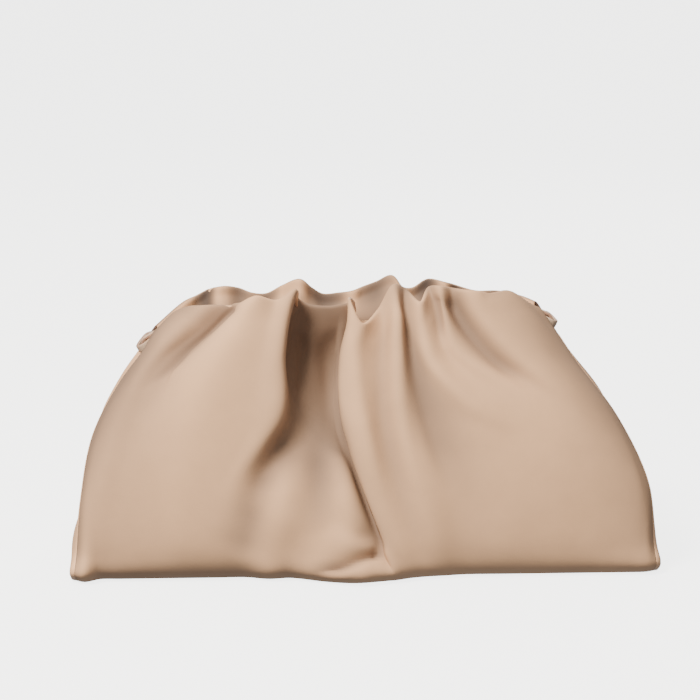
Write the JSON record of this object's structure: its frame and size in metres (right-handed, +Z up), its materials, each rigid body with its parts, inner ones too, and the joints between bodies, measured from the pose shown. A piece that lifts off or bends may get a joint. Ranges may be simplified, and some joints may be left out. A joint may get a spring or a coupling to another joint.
{
  "type": "cloud pouch bag",
  "caption": "Soft gathered leather pouch bag with a ruffled mouth, folded side panels, a flat base and a narrow strap hanging behind.",
  "frame": {"origin": "on the floor under the middle of the flat base", "axes": "+X along the bag to the right as seen from the front, -Y towards the front, +Z up"},
  "size_m": [0.3806, 0.1916, 0.184],
  "materials": {
    "bag_leather": "smooth soft satin",
    "side_leather": "smooth soft satin",
    "strap_leather": "smooth satin with dark cut edges",
    "frame_metal": "brushed satin"
  },
  "bodies": {
    "root": {"outer_wrap": "bag_leather", "gusset_left": "side_leather", "gusset_right": "side_leather", "mouth_frame": "frame_metal", "tab_left": "strap_leather", "tab_right": "strap_leather", "strap": "strap_leather"}
  },
  "joints": []
}
